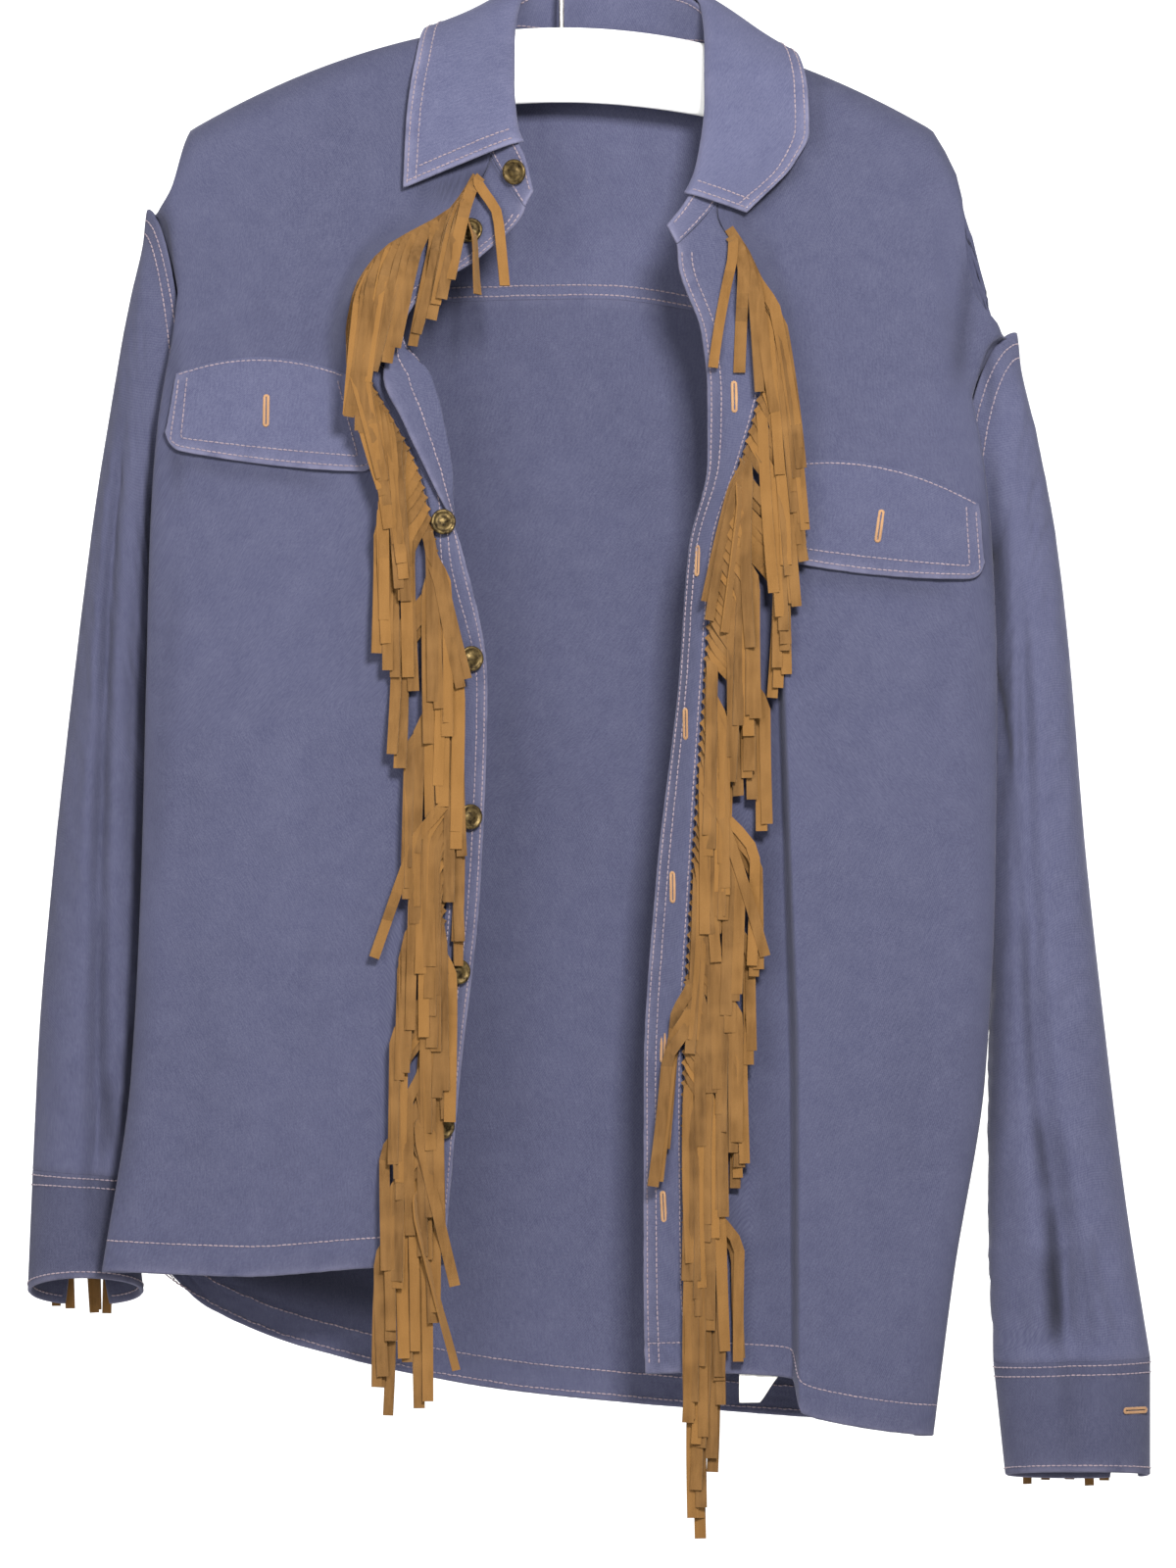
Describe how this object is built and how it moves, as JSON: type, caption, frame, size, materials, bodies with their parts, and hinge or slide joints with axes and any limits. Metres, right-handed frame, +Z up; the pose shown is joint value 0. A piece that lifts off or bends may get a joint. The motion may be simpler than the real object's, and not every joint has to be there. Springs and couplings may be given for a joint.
{
  "type": "fringed denim shirt on a hanger",
  "caption": "Long-sleeved denim shirt hanging unbuttoned on a broad shoulder hanger, with a pointed collar, pocket flaps and suede fringes beside the front openings.",
  "frame": {"origin": "inside top of the hanger's hook, where it rests on its rail", "axes": "+Z up, -Y out of the shirt's front, +X towards the side of the shirt that is on the wearer's left"},
  "size_m": [0.6579, 0.1243, 0.946],
  "materials": {
    "denim": "washed twill",
    "suede": "napped",
    "button": "worn",
    "label": "matt",
    "hanger": "satin",
    "hook": "satin"
  },
  "bodies": {
    "root": {"collar_stand": "denim", "collar_leaf": "denim", "front_right": "denim", "front_left": "denim", "placket_right": "denim", "placket_left": "denim", "yoke": "denim", "back": "denim", "sleeve_right": "denim", "sleeve_left": "denim", "cuff_right": "denim", "cuff_left": "denim", "pocket_flap_right": "denim", "pocket_flap_left": "denim", "fringe_right": "suede", "fringe_left": "suede", "sleeve_fringe_right": "suede", "sleeve_fringe_left": "suede", "button_1": "button", "button_2": "button", "button_3": "button", "button_4": "button", "button_5": "button", "button_6": "button", "button_7": "button", "button_collar": "button", "label": "label", "hanger": "hanger", "hook": "hook"}
  },
  "joints": []
}
